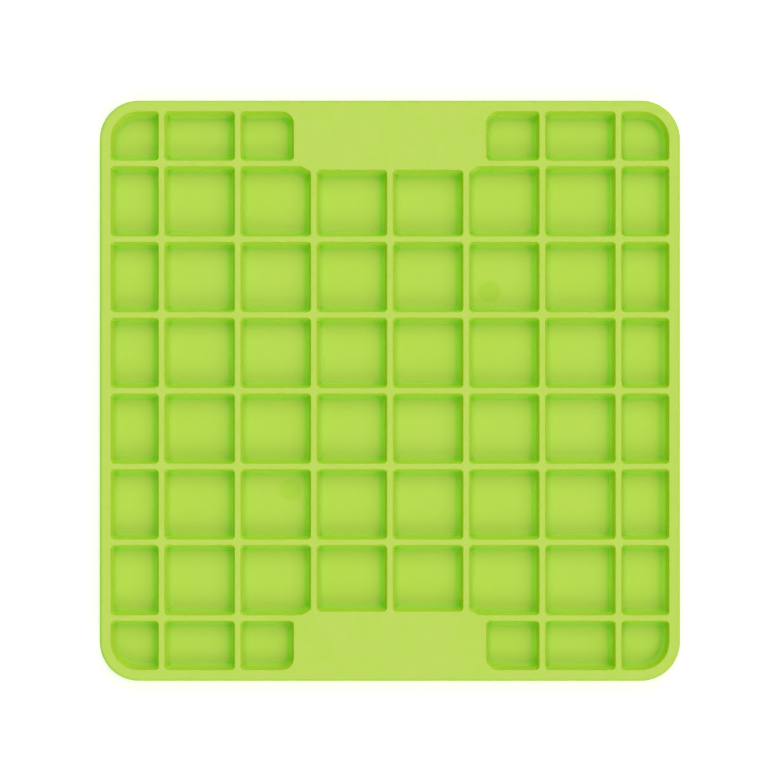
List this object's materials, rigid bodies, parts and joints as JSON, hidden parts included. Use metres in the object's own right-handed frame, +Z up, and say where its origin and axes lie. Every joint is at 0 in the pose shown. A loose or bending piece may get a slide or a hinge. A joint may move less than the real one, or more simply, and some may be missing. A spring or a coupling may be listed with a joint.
{
  "type": "lick mat",
  "caption": "Square soft rubber lick mat with a grid of open square pockets, a rounded rim and a plain flat plate at the middle of two opposite edges.",
  "frame": {"origin": "middle of the mat's underside, on the surface it lies on", "axes": "+Z up out of the pockets; +X and +Y along the mat's sides, with the two plain plates at +Y and -Y; +Y is the top of the picture"},
  "size_m": [0.2, 0.2, 0.008],
  "materials": {
    "mat_rubber": "soft matte lime green thermoplastic rubber, moulded in one colour"
  },
  "bodies": {
    "root": {"base_sheet": "mat_rubber", "rim": "mat_rubber", "back_plate": "mat_rubber", "front_plate": "mat_rubber", "long_rib_1": "mat_rubber", "long_rib_2": "mat_rubber", "long_rib_3": "mat_rubber", "long_rib_4": "mat_rubber", "long_rib_5": "mat_rubber", "long_rib_6": "mat_rubber", "long_rib_7": "mat_rubber", "cross_rib_1": "mat_rubber", "cross_rib_2": "mat_rubber", "cross_rib_3": "mat_rubber", "cross_rib_4": "mat_rubber", "cross_rib_5": "mat_rubber", "cross_rib_6": "mat_rubber", "cross_rib_7": "mat_rubber"}
  },
  "joints": []
}
